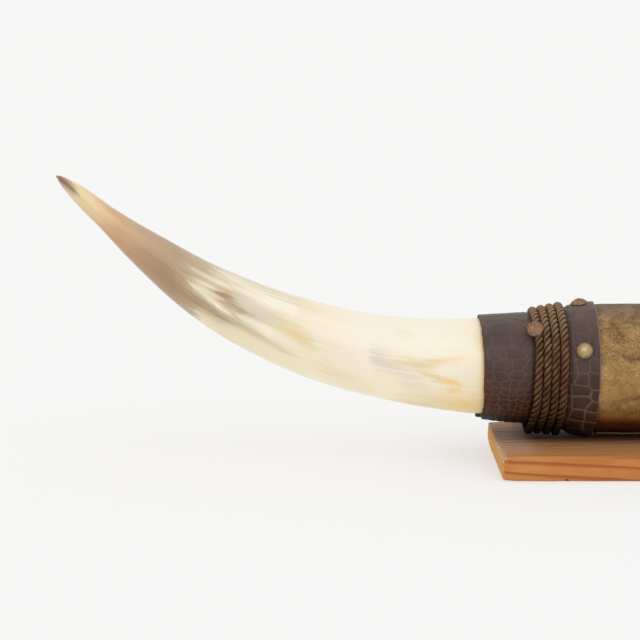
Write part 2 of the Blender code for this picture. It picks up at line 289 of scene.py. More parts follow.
# horns
horn = {
    # place and radius, in millimetres, from the cuff out to the tip
    "stations": [(-121.5, 16, 72.6, 37.6), (-166, 16, 73.5, 37.4), (-231, 10, 79.9, 32.7), (-299, 4, 97.1, 29.2),
                 (-365, 4, 125.7, 23.5), (-433, 14, 170.8, 13.5), (-456, 20.7, 188.7, 9.4), (-483, 29, 210.5, 5.7),
                 (-492.5, 32.5, 217.8, 2.9), (-497, 34, 221.2, 0.6)],
    "rightTipShift": (-5, 6, 7), "shiftFrom": 166, "reach": 331,  # the right tip lies a little aside
    "around": 224, "rows": 420,
    "crowding": 1.15,  # over 1, the rows stand closer towards the tip
    "swell": 0.25, "tipLength": 1.2,
    "base": 121.5, "socketRadius": 19.3, "socketEnd": 158.3,  # the hole for the core's peg
    "seenFrom": math.radians(8),  # height is as seen from a little above
    "fibreRadius": 30,
    "rightFlames": {"out": 9, "narrower": 0.9, "lower": 0.05},
    # tone along the horn, as a share of the way from the cuff to the tip
    "groundFrom": 160, "groundLength": 340,
    "ground": [(0.0, (241, 231, 207)), (0.12, (244, 235, 214)), (0.30, (243, 234, 214)), (0.45, (237, 225, 199)),
               (0.58, (216, 201, 171)), (0.655, (190, 170, 140)), (0.72, (178, 151, 121)),
               (0.79, (192, 161, 129)), (0.85, (207, 170, 127)), (0.90, (232, 206, 162)),
               (0.945, (233, 210, 168)), (1.0, (194, 156, 128))],
    "tones": {"olive": (186, 166, 130), "brown": (160, 128, 90), "gold": (228, 206, 157), "grey": (210, 202, 182),
              "straw": (242, 227, 195), "cream": (244, 237, 217), "plum": (118, 88, 80)},
    "goldByCuff": (247, 214, 142), "rim": (250, 214, 140),
    "fibreShade": (218, 196, 158), "underShade": (218, 178, 140), "upperShade": (222, 200, 180),
    "lowGlow": (255, 241, 204), "line": (190, 168, 132), "hair": (180, 150, 110),
    # tone, from (out, height), to (out, height), half width in mm, how long each end fades, strength
    # out is measured from the middle of the object, height runs from -1 low to 1 high across the horn's front
    "flames": [
        ("plum", 496, 0.02, 476, 0.06, 2.7, 0.05, 0.5, 0.9),
        ("brown", 436, -0.24, 390, -0.50, 8.0, 0.7, 0.4, 0.8),
        ("brown", 404, -0.50, 352, -0.46, 4.6, 0.3, 0.6, 0.7),
        ("brown", 374, 0.26, 345, 0.00, 4.0, 0.4, 0.6, 0.8),
        ("brown", 398, 0.24, 384, 0.14, 1.6, 0.5, 0.7, 0.5),
        ("olive", 366, -0.36, 306, -0.56, 2.8, 0.3, 0.8, 0.75),
        ("olive", 356, 0.05, 322, 0.01, 3.0, 0.4, 0.6, 0.9),
        ("olive", 368, 0.42, 338, 0.42, 2.8, 0.6, 0.7, 0.65),
        ("grey", 360, 0.36, 316, 0.16, 5.8, 0.6, 0.6, 1.0),
        ("gold", 336, 0.18, 293, -0.14, 6.8, 0.5, 0.3, 0.95),
        ("gold", 326, 0.30, 298, 0.10, 6.5, 0.6, 0.7, 0.40),
        ("gold", 308, 0.92, 288, 0.72, 3.8, 0.3, 0.8, 0.45),
        ("gold", 304, -0.58, 244, -0.86, 7.5, 0.6, 0.7, 0.40),
        ("gold", 300, 0.10, 262, -0.15, 6.0, 0.6, 0.7, 0.16),
        ("gold", 237, 0.64, 217, 0.58, 4.0, 0.6, 0.8, 0.30),
        ("grey", 252, 0.06, 208, -0.52, 8.0, 0.08, 0.9, 0.62),
        ("grey", 238, -0.36, 202, -0.66, 8.0, 0.5, 0.8, 0.30),
        ("gold", 236, -0.01, 201, -0.08, 4.8, 0.6, 0.5, 1.0),
        ("gold", 216, 0.02, 170, 0.25, 2.3, 0.3, 0.6, 0.7),
        ("gold", 218, -0.18, 180, -0.43, 2.9, 0.5, 0.2, 1.0),
        ("gold", 197, -0.63, 181, -0.45, 2.3, 0.4, 0.3, 0.85),
        ("gold", 196, -0.64, 168, -0.88, 3.0, 0.3, 0.3, 0.9),
        ("gold", 236, -0.96, 160, -0.84, 10.0, 0.7, 0.04, 0.85),
        ("gold", 176, -0.27, 164, -0.33, 5.0, 0.8, 0.1, 0.5),
        ("gold", 175, 0.62, 164, 0.45, 9.0, 0.8, 0.1, 0.45),
        ("cream", 390, 0.46, 353, 0.50, 2.0, 0.7, 0.5, 0.7),
        ("cream", 384, 0.22, 364, 0.30, 1.7, 0.7, 0.6, 0.55),
        ("cream", 374, 0.70, 344, 0.74, 2.6, 0.8, 0.5, 0.8),
        ("cream", 374, 0.84, 309, 0.62, 5.6, 0.85, 0.05, 1.0),
        ("cream", 364, 0.55, 316, 0.56, 4.4, 0.8, 0.3, 0.9),
        ("straw", 393, -0.08, 366, 0.06, 4.4, 0.4, 0.5, 0.8),
        ("cream", 384, -0.15, 357, -0.30, 2.2, 0.6, 0.4, 0.95),
        ("cream", 354, -0.16, 300, -0.30, 5.0, 0.4, 0.6, 0.9),
        ("straw", 389, -0.94, 345, -0.84, 5.6, 0.15, 0.9, 0.95),
        ("straw", 372, -0.86, 300, -0.74, 7.5, 0.4, 0.8, 0.85),
    ],
}


def flameMask(out, height, radius, flame, ragged):  # how much of one flame's tone lies on each point
    fromOut, fromHeight, toOut, toHeight, wide, tapers, tapered, strength = flame[1:]
    length = fromOut - toOut
    t = (fromOut - out + ragged * min(6, 0.25 * length)) / length
    middle = fromHeight + (toHeight - fromHeight) * np.clip(t, 0, 1)
    body = (np.clip(t / tapers, 0, 1) * np.clip((1 - t) / tapered, 0, 1)) ** 0.7
    off = np.abs(height - middle) * radius / (wide * np.sqrt(np.maximum(body, 0.05)))
    return strength * np.exp(-0.9 * off**2) * body**0.6


def hornRoute(side, share):  # middle, direction, radius, distance along and to the tip, from base 0 to tip 1
    stations = np.array(horn["stations"], float)
    if side > 0:
        stations[:, 0] *= -1
        reach = np.clip((stations[:, 0] - horn["shiftFrom"]) / horn["reach"], 0, None)
        stations[:, :3] += reach[:, None] ** 2 * np.array(horn["rightTipShift"])
    knots = np.concatenate([[0], np.cumsum(np.linalg.norm(np.diff(stations[:, :3], axis=0), axis=1))])
    at = knots[-1] * (1 - (1 - share) ** horn["crowding"])
    centre = through(knots, stations[:, :3], at)
    ahead = unit(through(knots, stations[:, :3], at + 0.5) - through(knots, stations[:, :3], at - 0.5))
    return centre, ahead, through(knots, stations[:, 3], at), at, knots[-1] - at


def hornTones(side, seed, out, radius, angle):
    height = np.sin(angle - horn["seenFrom"])
    facing, girth = np.cos(angle), angle / tau
    ragged = 0.7 * cloud(seed + 1, out / 26, radius * np.sin(angle))
    ragged += 0.5 * cloud(seed + 2, out / 11, radius * angle / 1.6)
    bent = height + 0.04 * cloud(seed + 3, out / 40, height * 3)
    tones = {tone: 0 * out for tone in horn["tones"]}
    shift = 0
    if side > 0:  # the right horn's flames lie a little apart from the left one's
        shift = horn["rightFlames"]["out"]
        bent = bent * horn["rightFlames"]["narrower"] - horn["rightFlames"]["lower"]
    for flame in horn["flames"]:
        mask = flameMask(out + shift, bent, radius, flame, ragged)
        tones[flame[0]] = np.maximum(tones[flame[0]], mask * ease(-0.3, 0.05, facing))
    # the back, which the photo doesn't show, gets streaks in the same tones
    behind = ease(0.05, -0.3, facing)
    streak = cloud(seed + 4, out / 55, girth * 17) + 0.5 * cloud(seed + 5, out / 30, girth * 41)
    middle = ease(420, 380, out) * ease(285, 330, out)
    for tone, share in (("cream", middle * ease(-0.1, 0.7, streak + 0.3 * ragged) * 0.9),
                        ("brown", middle * ease(-0.1, -0.8, streak - 0.3 * ragged) * 0.8),
                        ("gold", ease(330, 280, out) * ease(0.2, 0.9, streak + 0.2 * ragged) * 0.6)):
        tones[tone] = np.maximum(tones[tone], behind * share)
    tones["lined"] = ease(0.55, 0.80, height) * ease(303, 308, out) * ease(372, 335, out)
    return tones


def makeHorn(side, word, seed):
    piece, u, v = gridPiece(f"{word}_horn_polished", horn["around"], horn["rows"])
    row = np.round(v * horn["rows"]).astype(int)
    angle = u * tau
    # the first three rows line the hole in the base, the rest run from the base to the tip
    centre, ahead, radius, at, toTip = hornRoute(side, np.clip((row - 3) / (horn["rows"] - 3), 0, 1))
    frontward = square(np.array([[0, -1, 0]]), ahead)
    upward = np.cross(ahead, frontward)
    upward = np.where(upward[:, 2:] < 0, -upward, upward)
    grown = horn["swell"] * cloud(seed, at / 35, angle / tau * 4 % 4) * ease(60, 120, at) * ease(0, 60, toTip)
    tip = np.sqrt(np.clip(1 - (1 - np.clip(toTip / horn["tipLength"], 0, 1)) ** 2, 0, 1))
    radius = (radius + grown) * tip
    points = centre + radius[:, None] * (np.cos(angle)[:, None] * frontward + np.sin(angle)[:, None] * upward)
    deep = np.where(row < 2, horn["socketEnd"], horn["base"])
    around = horn["socketRadius"] * (row > 0)
    bored = np.stack([side * deep, wrap["axisBack"] / mm - around * np.cos(angle),
                      wrap["axisHeight"] / mm + around * np.sin(angle)], axis=1)
    writePoints(piece, np.where((row < 3)[:, None], bored, points) * mm)
    out = np.abs(points[:, 0])
    for tone, values in hornTones(side, seed, out, radius, angle).items():
        keepNumbers(piece, tone, values)
    keepNumbers(piece, "out", out)
    keepNumbers(piece, "seen", np.sin(angle - horn["seenFrom"]))
    fibre = horn["fibreRadius"]
    keepNumbers(piece, "grain", np.stack([at, fibre * np.cos(angle), fibre * np.sin(angle)], axis=1) * mm)
    welded(piece, 0.004 * mm)
    finished(piece, hornPaint, f"{word}_horn", sharp=50)


def paintHorn():
    p = Paint("polished horn", Subsurface_Weight=0.15, Subsurface_Scale=0.003,
              Subsurface_Radius=(1.0, 0.7, 0.4), IOR=1.54)
    grain = p.attribute("grain", vector=True)
    out, seen = p.attribute("out"), p.attribute("seen")
    hairs = p.noise(p.scaled(grain, 26, 1500, 1500), 1, 3, 0.6)
    fibres = p.noise(p.scaled(grain, 20, 520, 520), 1, 3, 0.6)
    drift = p.noise(p.scaled(grain, 25, 60, 60), 1, 2)
    lines = p.noise(p.scaled(grain, 12, 900, 900), 1, 2, 0.5).between(0.47, 0.62)
    spot = (out - horn["groundFrom"] + (drift - 0.5) * 30 + (fibres - 0.5) * 14) / horn["groundLength"]
    colour = p.ramp(spot, horn["ground"])
    darker = fibres.between(0.35, 0.75) * out.between(290, 370, 0.07, 0.20)
    colour = p.mix(darker, colour, horn["fibreShade"], "MULTIPLY")
    under = seen.between(0.15, -0.85) * out.between(390, 435) * out.between(488, 455)
    colour = p.mix(under * 0.32, colour, horn["underShade"], "MULTIPLY")
    above = seen.between(0.45, 0.95) * out.between(372, 425)
    colour = p.mix(above * 0.04, colour, horn["upperShade"], "MULTIPLY")
    colour = p.mix(seen.between(-0.1, -0.95) * out.between(400, 330) * 0.6, colour, horn["lowGlow"])
    streaky = (hairs - 0.5) * 0.8 + (fibres - 0.5) * 1.3
    for tone, paint in horn["tones"].items():
        if tone == "gold":
            paint = p.mix(out.between(212, 180), paint, horn["goldByCuff"])
        share = p.attribute(tone)  # made streaky where the flame fades out
        colour = p.mix(share + streaky * share.between(0.0, 0.45) * share.between(1.1, 0.5), colour, paint)
    colour = p.mix(p.attribute("lined") * lines * 0.5, colour, horn["line"])
    colour = p.mix(out.between(168.2, 166.6) * 0.85, colour, horn["rim"])
    colour = p.mix(hairs.between(0.60, 0.75) * 0.10, colour, horn["hair"])
    p.end("Base Color", colour)
    p.end("Roughness", 0.26 + fibres * 0.14)
    p.end("Normal", p.bump(hairs + fibres * 1.5, 0.00005, 0.5))
    return p


hornPaint = paintHorn()
for side, word, seed in ((-1, "left", 11), (1, "right", 47)):
    makeHorn(side, word, seed)
print("horns")


# leather cuffs
cuff = {
    # distance out along the cuff and radius of its outside, in millimetres
    "profile": [(0, 52.3), (6, 51.6), (12, 50.8), (18, 49.8), (21.4, 48.8), (24.4, 46.8), (26.6, 45.3), (38, 42.9),
                (49.3, 40.55), (50.7, 41.2), (52.4, 42.1), (56, 42.45), (66, 42.1), (78, 41.2), (89, 40.1)],
    "thickness": 1.6 * mm,
    "start": math.radians(-34), "turned": tau * 31 / 28,
    "lapFrom": math.radians(372), "lapTo": math.radians(398), "lapLift": 1.95,
    # angle wound so far and distance out of each edge, which were cut by hand
    "outer": [(34, 84), (62, 86), (80, 91.5), (120, 90.5), (180, 89.5), (270, 91.5), (360, 88.5), (433, 87.5)],
    "inner": [(34, 4.5), (75, 4), (110, 2.4), (270, 2.4), (320, 1.4), (365, 1.1), (400, 2.0), (433, 3.6)],
    "flareEnd": 22.6, "bellyStart": 52.6, "length": 89, "ropeBed": 38,
    "pucker": 0.4, "slack": 0.3, "ragged": 0.3,  # unevenness beside the rope, elsewhere and of the cut edges
    "columns": 434, "rows": 112,
    "bigScale": (14.0, 9.8), "smallScale": (6.2, 5.4), "stripScale": (11.6, 10.4),  # mm along and round
    "irregular": 0.5,
    "relief": 0.32,
    "tones": {
        "face": [(0.25, (63, 51, 47)), (0.55, (77, 63, 59)), (0.8, (90, 75, 70))],
        # top: painted sheen, the upper side paler and greyer
        "top": ((90, 78, 71), (114, 102, 94)), "front": ((48, 27, 15), (82, 55, 38)),
        # the tones for the lower side and underneath are painted shade; warm also keeps the leather's own dark spots
        "flare": (40, 21, 9), "flareLow": (24, 11, 4), "warm": (58, 19, 0), "low": (18, 10, 7),
        "groove": ((96, 74, 65), (112, 84, 72)), "grooveFront": (126, 74, 46), "grooveFlare": (130, 92, 68),
        "grooveLow": (54, 34, 26), "shoulder": (84, 62, 54), "crease": (90, 68, 60), "pore": (28, 20, 18),
        "under": (14, 8, 6), "outerCut": (40, 26, 20), "innerCut": (150, 126, 106),
    },
}


def cuffRadius(along):
    profile = np.array(cuff["profile"])
    return np.interp(along, profile[:, 0], profile[:, 1])


def cuffLift(wound):  # 0 on the first layer, 1 where the lapped end lies on top of it
    return ease(cuff["lapFrom"], cuff["lapTo"], -wound)


def cuffAngle(wound):  # degrees up from the front, from -135 to 225
    return np.degrees(np.mod(wound + math.pi * 0.75, tau) - math.pi * 0.75)


def scaleSpace(along, wound):  # each point's place among the scales, small low at the front
    def small(angle):
        return ease(22, -24, angle) * ease(-160, -110, angle)

    def sized(which, share):
        return cuff["bigScale"][which] + (cuff["smallScale"][which] - cuff["bigScale"][which]) * share

    flare = along < 40
    here = small(cuffAngle(wound))
    across = np.where(flare, along / cuff["stripScale"][0] - 6.0, (along - 73) / sized(0, here))
    turn = np.linspace(-3 * math.pi, math.pi, 4001)
    rows = np.cumsum(45 * (turn[1] - turn[0]) / sized(1, small(cuffAngle(turn))))
    girth = np.where(flare, wound * 49 / cuff["stripScale"][1], np.interp(wound, turn, rows))
    bend = (0.16 + 0.24 * here) * cloud(5, along / 17, wound * 2.6 + 9)
    rise = (0.20 + 0.15 * here) * cloud(6, along / 14 + 3, wound * 2.0 + 9)
    return np.stack([across + bend, girth + rise, 0 * along], axis=1)


def emboss(piece, amount):  # presses the scales' grooves into the mesh with the same cells as the paint reads
    tree = bpy.data.node_groups.new("emboss", "GeometryNodeTree")
    tree.interface.new_socket("Geometry", in_out="INPUT", socket_type="NodeSocketGeometry")
    tree.interface.new_socket("Geometry", in_out="OUTPUT", socket_type="NodeSocketGeometry")
    new = tree.nodes.new
    inside, outside = new("NodeGroupInput"), new("NodeGroupOutput")
    where = new("GeometryNodeInputNamedAttribute")
    where.data_type = "FLOAT_VECTOR"
    where.inputs[0].default_value = "scales"
    cells = new("ShaderNodeTexVoronoi")
    cells.feature, cells.voronoi_dimensions = "DISTANCE_TO_EDGE", "2D"
    cells.inputs["Scale"].default_value = 1
    cells.inputs["Randomness"].default_value = cuff["irregular"]
    depth = new("ShaderNodeMapRange")
    depth.interpolation_type = "SMOOTHSTEP"
    for key, value in ((1, 0.0), (2, 0.17), (3, -amount), (4, 0.0)):
        depth.inputs[key].default_value = value
    normal, move = new("GeometryNodeInputNormal"), new("GeometryNodeSetPosition")
    shift = new("ShaderNodeVectorMath")
    shift.operation = "SCALE"
    for given, taken in ((where.outputs[0], cells.inputs["Vector"]), (cells.outputs["Distance"], depth.inputs[0]),
                         (normal.outputs[0], shift.inputs[0]), (depth.outputs[0], shift.inputs["Scale"]),
                         (inside.outputs[0], move.inputs["Geometry"]), (shift.outputs[0], move.inputs["Offset"]),
                         (move.outputs[0], outside.inputs[0])):
        tree.links.new(given, taken)
    applied(piece, "NODES", node_group=tree)
    bpy.data.node_groups.remove(tree)


def edgeAt(edge, wound):
    table = np.array(edge)
    return np.interp(-np.degrees(wound), table[:, 0], table[:, 1])


def makeCuff(side, word, seed):
    piece, u, v = gridPiece(f"{word}_cuff_embossed", cuff["columns"], cuff["rows"])
    station = v * cuff["length"]
    wound = cuff["start"] - cuff["turned"] * u
    along = station + edgeAt(cuff["inner"], wound) * np.clip(1 - station / cuff["flareEnd"], 0, None)
    belly = np.clip((station - cuff["bellyStart"]) / (cuff["length"] - cuff["bellyStart"]), 0, None)
    along += (edgeAt(cuff["outer"], wound) - cuff["length"]) * belly
    bed = np.exp(-((station - cuff["ropeBed"]) / 15) ** 4)
    beside = np.exp(-((station - 56.5) / 4) ** 2) + 0.6 * np.exp(-((station - 20) / 4) ** 2)
    pucker = cuff["pucker"] * beside * cloud(seed, wound * 5 + 40, station / 30)
    slack = cuff["slack"] * cloud(seed + 1, wound * 1.3 + 20, station / 25) * (1 - bed)
    radius = cuffRadius(station) + cuff["lapLift"] * cuffLift(wound) + (pucker + slack) * (station > 2)
    edge = cuff["ragged"] * cloud(seed + 2, wound * 7 + 30) * (ease(80, 89, station) + ease(9, 0, station))
    writePoints(piece, moved(cuffMatrix(side), roundAxis((along + edge) * mm, radius * mm, wound)))
    keepNumbers(piece, "scales", scaleSpace(station, wound))
    keepNumbers(piece, "station", station)
    keepNumbers(piece, "angle", cuffAngle(wound))
    keepNumbers(piece, "hide", np.stack([station * mm, wound * 47 * mm, 0 * wound], axis=1))
    faceOutwards(piece, (side * 0.12, wrap["axisBack"], wrap["axisHeight"]))
    emboss(piece, cuff["relief"] * mm)
    applied(piece, "SOLIDIFY", thickness=cuff["thickness"], offset=-1, use_even_offset=True)
    finished(piece, cuffPaint, f"{word}_cuff")


def faceOutwards(piece, middle):  # turns a wrapped sheet's faces round if they look towards its middle line
    faces = piece.data.polygons
    some = faces[len(faces) // 2]
    if some.normal.dot(some.center - Vector((some.center.x, middle[1], middle[2]))) < 0:
        piece.data.flip_normals()


def paintCuff():
    p = Paint("embossed leather", Specular_IOR_Level=0.25)
    tones = cuff["tones"]
    spot, flat = p.attribute("scales", vector=True), p.attribute("hide", vector=True)
    angle, station = p.attribute("angle"), p.attribute("station")
    edge = p.cells(spot, 1.0, cuff["irregular"], "2D")
    groove, shoulder = edge.between(0.062, 0.018), edge.between(0.20, 0.05)
    pores = p.noise(flat, 1500, 3, 0.6)
    wander = p.scaled(p.noise(flat, 300, 2, out=1), 0.0012, 0.0012, 0)
    creases = p.cells(p.vectorMaths("ADD", flat, wander), 620)
    blotch = p.noise(flat, 60, 3, 0.55)
    flare = station.between(26, 22)
    # the underside, where painted shade darkens the face and the grooves
    low = angle.between(-43, -63)
    face = p.ramp(blotch, tones["face"])
    # painted sheen: the upper side paler and greyer
    face = p.mix(angle.between(25, 85) * 0.6, face, p.mix(blotch, *tones["top"]))
    face = p.mix(angle.between(30, -25) * 0.85, face, p.mix(blotch, *tones["front"]))
    # darker, warmer blotches low on the front: the leather's own spots, deepened with painted shade
    warm = angle.between(-10, -36) * station.between(40, 46) * station.between(90, 66, 0.5, 1.0)
    # painted shade low on the flared strip, on the lower front and on the underside
    face = p.over(face, tones, flare=flare * angle.between(22, -8) * 0.4,
                  warm=warm * blotch.between(0.15, 0.5) * 0.88, low=low * 0.94,
                  flareLow=flare * angle.between(-28, -48) * 0.8)
    # the grooves' own worn tone, with painted shade over it on the underside
    worn = p.over(p.mix(blotch.between(0.3, 0.7), *tones["groove"]), tones, grooveFront=angle.between(16, -30),
                  grooveFlare=flare * angle.between(10, -25), grooveLow=low * 0.8)
    colour = p.mix(shoulder * 0.28, face, tones["shoulder"])
    colour = p.mix(groove * (p.noise(flat, 240, 2) * 0.5 + 0.4), colour, worn)
    # more painted shade on the underside
    colour = p.over(colour, tones, crease=creases.between(0.10, 0.02) * 0.16,
                    pore=pores.between(0.62, 0.75) * 0.3, under=low * 0.6,
                    outerCut=station.between(88.4, 88.9) * 0.6,
                    innerCut=station.between(1.1, 0.4) * angle.between(-20, 20, 0.15, 0.6))
    p.end("Base Color", colour)
    p.end("Roughness", 0.36 + groove * 0.2 + pores * 0.16 + blotch * 0.1)
    relief = p.bump(edge.between(0.0, 0.14), 0.00035, 0.5)
    p.end("Normal", p.bump(pores * 0.6 + creases.between(0.0, 0.12), 0.00012, 0.45, relief))
    return p


cuffPaint = paintCuff()
for side, word, seed in ((-1, "left", 101), (1, "right", 140)):
    makeCuff(side, word, seed)
print("cuffs")


# hide round the middle
hide = {
    "halfLength": 84,
    "profile": [(0, 50.85), (72, 50.35), (78, 50.0), (84, 49.05)],
    "thickness": 1.2 * mm,
    "start": math.radians(-110), "turned": tau * 31 / 28,
    "hemFrom": math.radians(222), "hemTo": math.radians(247), "hemLift": 1.45, "hemHalf": 76,
    "columns": 300, "rows": 130, "meanRadius": 51,
    "pucker": (0.12, 0.06),  # broad and fine unevenness
    # dark creases in the hide, painted shade of folds that the mesh doesn't have: along and degrees at each end,
    # half width in mm, strength
    "creases": [(60, 19, 34, 17, 2.6, 1.0), (67, 54, 60, 35, 2.6, 0.85), (72, 44, 66, 38, 3.8, 0.6),
                (68, -23, 36, -14, 2.3, 0.72), (52, 62, 30, 58, 2.6, 0.5), (30, -2, 8, 4, 2.4, 0.6)],
    "rightTurn": 11,  # degrees that the right half's creases lie further round
    "tones": {
        "nap": [(0.40, (88, 65, 38)), (0.50, (126, 97, 56)), (0.60, (162, 129, 82)), (0.72, (198, 165, 115))],
        # top: painted sheen, the upper side greyer
        "top": [(0.4, (84, 72, 62)), (0.7, (132, 116, 103))],
        # low, lower and the lowest tone: painted shade, darker towards the underside
        "belly": (206, 158, 94), "low": (142, 86, 20), "lower": (76, 27, 0), "lowest": (26, 9, 4),
        "vein": (74, 58, 40), "crease": (74, 52, 34), "cutEdge": (116, 90, 60),
        "lightSpeck": (208, 178, 131), "darkSpeck": (62, 46, 28),
    },
}


def creased(along, degrees):  # how much of the creases' dark tone lies on each point
    turned = np.where(along > 0, hide["rightTurn"], 0)
    degrees = degrees + turned + 2.5 * cloud(205, along / 9, degrees / 14 + 30)
    radius = hide["meanRadius"]
    place = np.stack([np.abs(along), np.radians(degrees) * radius], axis=1)
    total = 0 * along
    for fromAlong, fromTurn, toAlong, toTurn, wide, strength in hide["creases"]:
        start = np.array([fromAlong, math.radians(fromTurn) * radius])
        end = np.array([toAlong, math.radians(toTurn) * radius])
        share = np.clip((place - start) @ (end - start) / np.sum((end - start) ** 2), 0, 1)
        off = np.linalg.norm(place - start - share[:, None] * (end - start), axis=1)
        total = np.maximum(total, strength * np.exp(-(off / wide) ** 2))
    return total


def makeHide():
    piece, u, v = gridPiece("center_hide_nubuck", hide["columns"], hide["rows"])
    wound = hide["start"] + hide["turned"] * u
    lift = ease(hide["hemFrom"], hide["hemTo"], wound)
    station = (v * 2 - 1) * hide["halfLength"]
    along = station * (1 + (hide["hemHalf"] / hide["halfLength"] - 1) * lift)
    profile = np.array(hide["profile"])
    radius = np.interp(np.abs(along), profile[:, 0], profile[:, 1]) + hide["hemLift"] * lift
    broad, fine = hide["pucker"]
    radius += broad * cloud(201, along / 14, wound * 3 + 8) + fine * cloud(202, along / 5, wound * 9 + 30)
    middle = np.array([0, wrap["axisBack"], wrap["axisHeight"]])
    writePoints(piece, roundAxis(along * mm, radius * mm, wound) + middle)
    degrees = np.degrees(np.where(wound > 1.5 * math.pi, wound - tau, wound))
    keepNumbers(piece, "hide", np.stack([along * mm, wound * hide["meanRadius"] * mm, 0 * wound], axis=1))
    keepNumbers(piece, "angle", degrees)
    keepNumbers(piece, "share", u)
    keepNumbers(piece, "creased", creased(along, degrees))
    faceOutwards(piece, middle)
    applied(piece, "SOLIDIFY", thickness=hide["thickness"], offset=-1, use_even_offset=True)
    finished(piece, hidePaint, "center_hide")


def paintHide():
    p = Paint("nubuck hide", Specular_IOR_Level=0.08)
    tones = hide["tones"]
    flat = p.attribute("hide", vector=True)
    angle, share = p.attribute("angle"), p.attribute("share")
    speckle = p.noise(flat, 1500, 4, 0.7)
    nap = p.noise(p.scaled(flat, 1.5, 0.8, 1), 620, 4, 0.65)
    mottle = p.noise(flat, 120, 4, 0.6, 0.6)
    patches = p.noise(flat, 30, 3, 0.6, 0.8)
    tone = mottle * 0.38 + patches * 0.30 + nap * 0.42
    colour = p.ramp(tone, tones["nap"])
    # painted sheen: the upper side greyer
    colour = p.mix(angle.between(34, 84) * 0.75, colour, p.ramp(tone, tones["top"]))
    vein = p.maths("ABSOLUTE", p.noise(p.scaled(flat, 1, 1.8, 1), 34, 3, 0.55, 1.0) - 0.5)
    veins = vein.between(0.03, 0.0) * patches.between(0.42, 0.62)
    # painted shade: darker towards the underside
    colour = p.over(colour, tones, belly=angle.between(18, -4) * angle.between(-34, -18) * 0.24,
                    low=angle.between(-22, -46) * 0.7, lower=angle.between(-35, -49) * 0.98,
                    lowest=angle.between(-52, -68) * 0.92, vein=veins * 0.40,
                    lightSpeck=(speckle - 0.5).between(0.04, 0.2) * 0.55,
                    darkSpeck=(0.5 - speckle).between(0.04, 0.2) * 0.6,
                    # painted shade along the hide's creases
                    crease=p.attribute("creased") * nap.between(0.35, 0.62, 0.85, 0.5),
                    cutEdge=share.between(0.9985, 0.9998))
    p.end("Base Color", colour)
    p.end("Roughness", 0.55 + speckle * 0.3)
    p.end("Normal", p.bump(speckle + nap * 1.2 - veins * 0.5, 0.0002, 0.6))
    return p


hidePaint = paintHide()
makeHide()
print("hide")


# rope lashings
rope = {
    "radius": 3.2, "turns": 4, "first": 29.3, "pitch": 6.47,
    "seat": 3.4,  # rope's middle above the leather
    "sag": 3.2, "drift": 1.8,  # the outermost turn hangs down and slips out underneath
    "bow": (1.2, 0.9),  # how far the turns bow in at the front: the innermost, and more for the outermost
    "bowTop": (75, 25), "bowUnder": (-66, -22),  # degrees between which the bow begins
    "start": math.radians(-96), "stepFrom": math.radians(205), "stepTo": math.radians(262),
    "lapRise": (math.radians(-96), 0.314), "lapFall": (math.radians(-36), 0.524),  # over the cuff's lap
    "waver": 0.2,
    "lay": 15.5,  # length of one twist
    "sides": 14, "spacing": 1.05,
    "tones": {
        "yarn": [(0.25, (68, 42, 24)), (0.45, (108, 76, 49)), (0.62, (154, 118, 85)), (0.85, (192, 158, 122))],
        # the top tone is painted light on the upper side; the others here are painted shade between the strands and
        # underneath
        "top": (188, 156, 124), "crevice": (27, 9, 0), "low": (64, 30, 8), "lowest": (20, 10, 5),
    },
}


def ropeLap(angle):
    (rise, riseWidth), (fall, fallWidth) = rope["lapRise"], rope["lapFall"]
    return ease(rise, rise + riseWidth, angle) * (1 - ease(fall, fall + fallWidth, angle))


def ropeRoute(seed):
    total = tau * (rope["turns"] - 1) + rope["stepFrom"] - rope["start"]
    wound = np.linspace(0, total, 1400)
    turn, part = np.divmod(wound, tau)
    angle = rope["start"] + part
    slot = turn + ease(rope["stepFrom"], rope["stepTo"], angle)
    last = slot / (rope["turns"] - 1)
    hang = last * ((1 - np.sin(angle)) / 2) ** 1.5
    along = rope["first"] + rope["pitch"] * slot + rope["drift"] * hang
    along += rope["waver"] * cloud(seed, wound * 1.6 + 3)
    front = ease(*np.radians(rope["bowTop"]), angle) * ease(*np.radians(rope["bowUnder"]), angle)
    along -= front * (rope["bow"][0] + rope["bow"][1] * last)
    lift = cuff["lapLift"] * (ropeLap(angle) + ropeLap(angle - tau)) + rope["sag"] * hang
    return roundAxis(along * mm, (cuffRadius(along) + lift + rope["seat"]) * mm, angle)


